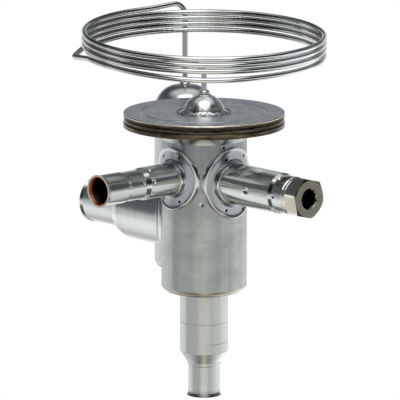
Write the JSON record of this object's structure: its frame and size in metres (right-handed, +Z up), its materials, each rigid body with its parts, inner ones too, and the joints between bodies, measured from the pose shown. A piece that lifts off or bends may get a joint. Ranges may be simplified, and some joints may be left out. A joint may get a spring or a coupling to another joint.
{
  "type": "refrigerant expansion valve",
  "caption": "Stainless steel refrigerant expansion valve with a flat diaphragm head, solder tubes, a side adjuster under a hexagon plug, and a sensing bulb on a coiled capillary tube.",
  "frame": {"origin": "centre of the inlet tube's open mouth, on the valve's axis", "axes": "+Z up the valve's axis to the diaphragm head, +X along the adjuster tube, -Y along the equalizer tube, -X along the outlet tube"},
  "size_m": [0.1451, 0.1207, 0.1752],
  "materials": {
    "body_steel": "satin, turned",
    "saddle_steel": "satin",
    "tube_steel": "polished",
    "inlet_steel": "fine matte",
    "copper": "oxidised copper",
    "head_steel": "matte",
    "rim_steel": "heat tinted",
    "dome_steel": "polished",
    "capillary_steel": "polished",
    "bulb_steel": "satin, polished end",
    "solder": "bright",
    "plug_nickel": "nickel plated",
    "seal_metal": "bright",
    "spring_steel": "bright",
    "brass": "turned",
    "seal_rubber": "matte",
    "seal_polymer": "matte"
  },
  "bodies": {
    "valve": {"valve_body": "body_steel", "outlet_saddle": "saddle_steel", "equalizer_saddle": "saddle_steel", "adjuster_saddle": "saddle_steel", "inlet_tube": "inlet_steel", "inlet_liner": "copper", "outlet_tube": "tube_steel", "outlet_liner": "copper", "equalizer_tube": "tube_steel", "equalizer_liner": "copper", "adjuster_tube": "tube_steel", "head_lower_housing": "rim_steel", "head_clamp_ring": "rim_steel", "diaphragm": "spring_steel", "head_top_plate": "head_steel", "capillary_dome": "dome_steel", "dome_joint": "solder", "capillary": "capillary_steel", "bulb": "bulb_steel", "bulb_joint": "solder", "orifice_seat": "tube_steel", "strainer_frame": "brass", "strainer_mesh": "spring_steel", "strainer_clip": "spring_steel", "rod_guide": "brass", "rod_seal": "seal_rubber", "seal_washer": "seal_polymer", "superheat_spring": "spring_steel", "stem_bush": "brass", "adjuster_insert": "brass", "stem_seal": "seal_rubber", "gland_nut": "brass"},
    "stem": {"adjusting_stem": "tube_steel", "bevel_pinion": "brass"},
    "crown": {"crown_wheel": "brass"},
    "spring_cup": {"spring_seat": "brass"},
    "rod": {"pressure_pad": "brass", "push_rod": "spring_steel", "valve_cone": "tube_steel"},
    "seal": {"plug_seal_ring": "seal_metal"},
    "plug": {"hex_plug": "plug_nickel"}
  },
  "joints": [
    {"name": "stem_turn", "type": "hinge", "parent": "valve", "child": "stem", "pos_m": [0, 0, 0.1026], "axis": [1, 0, 0], "range_deg": [-1555, 1555]},
    {"name": "crown_turn", "type": "hinge", "parent": "valve", "child": "crown", "pos_m": [0, 0, 0.1026], "axis": [0, 0, 1], "range_deg": [-648, 648]},
    {"name": "seat_travel", "type": "slide", "parent": "valve", "child": "spring_cup", "axis": [0, 0, 1], "range_m": [-0.0018, 0.0018]},
    {"name": "valve_stroke", "type": "slide", "parent": "valve", "child": "rod", "axis": [0, 0, 1], "range_m": [-0.001, 0], "stiffness_N_per_m": 12000, "springref_m": 0.001, "deforming": ["superheat_spring", "diaphragm"]},
    {"name": "plug_travel", "type": "slide", "parent": "valve", "child": "seal", "axis": [1, 0, 0], "range_m": [0, 0.009]},
    {"name": "plug_turn", "type": "hinge", "parent": "seal", "child": "plug", "pos_m": [0, 0, 0.1026], "axis": [1, 0, 0], "range_deg": [0, 2160]}
  ],
  "couplings": [
    {"joint": "crown_turn", "follows": "stem_turn", "ratio": 0.41667},
    {"joint": "seat_travel", "follows": "stem_turn", "m_per_rad": -0.000066315},
    {"joint": "plug_travel", "follows": "plug_turn", "m_per_rad": 0.00023873}
  ]
}
